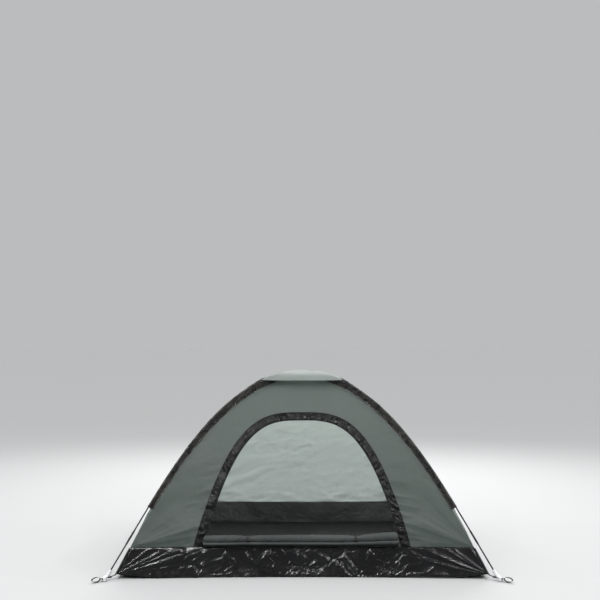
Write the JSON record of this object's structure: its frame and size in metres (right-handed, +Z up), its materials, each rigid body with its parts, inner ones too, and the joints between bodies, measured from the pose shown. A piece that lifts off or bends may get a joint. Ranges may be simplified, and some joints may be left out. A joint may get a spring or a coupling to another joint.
{
  "type": "camping tent",
  "caption": "Pitched dome tent on two crossed poles in sleeves, with a tub floor, a rain cap over the crossing and an arched front door rolled down open.",
  "frame": {"origin": "centre of the floor, on the ground", "axes": "+Z up, -Y out of the front door, +X to the right as one faces the door from outside"},
  "size_m": [2.2274, 1.6758, 1.1017],
  "materials": {
    "grey_polyester": "satin woven cloth",
    "pale_coated_polyester": "smooth coated cloth",
    "black_polyester": "satin woven cloth",
    "black_pe_film": "glossy crinkled woven film",
    "black_mesh": "fine open net",
    "black_glass_fibre": "smooth rod",
    "pale_moulding": "satin moulded plastic",
    "black_webbing": "coarse woven tape"
  },
  "bodies": {
    "root": {"floor_sheet": "black_pe_film", "front_wall": "grey_polyester", "rear_wall": "grey_polyester", "left_wall": "grey_polyester", "right_wall": "grey_polyester", "roof_vent": "black_mesh", "rain_cap": "pale_coated_polyester", "tub_front": "black_pe_film", "tub_rear": "black_pe_film", "tub_left": "black_pe_film", "tub_right": "black_pe_film", "pole_cup_front_left": "pale_moulding", "webbing_front_left": "black_webbing", "pole_leg_front_left": "black_glass_fibre", "ferrule_front_left": "black_glass_fibre", "sleeve_front_left": "black_polyester", "cap_hook_front_left": "black_webbing", "pole_cup_front_right": "pale_moulding", "webbing_front_right": "black_webbing", "pole_leg_front_right": "black_glass_fibre", "ferrule_front_right": "black_glass_fibre", "sleeve_front_right": "black_polyester", "cap_hook_front_right": "black_webbing", "pole_cup_rear_left": "pale_moulding", "webbing_rear_left": "black_webbing", "pole_leg_rear_left": "black_glass_fibre", "ferrule_rear_left": "black_glass_fibre", "sleeve_rear_left": "black_polyester", "cap_hook_rear_left": "black_webbing", "pole_cup_rear_right": "pale_moulding", "webbing_rear_right": "black_webbing", "pole_leg_rear_right": "black_glass_fibre", "ferrule_rear_right": "black_glass_fibre", "sleeve_rear_right": "black_polyester", "cap_hook_rear_right": "black_webbing", "pole_run_upper": "black_glass_fibre", "pole_run_lower": "black_glass_fibre", "door_trim": "black_polyester", "door_zip": "black_polyester", "zip_slider_left": "black_polyester", "zip_slider_right": "black_polyester", "rolled_door": "grey_polyester", "door_tie_left": "black_webbing", "door_tie_right": "black_webbing"}
  },
  "joints": []
}
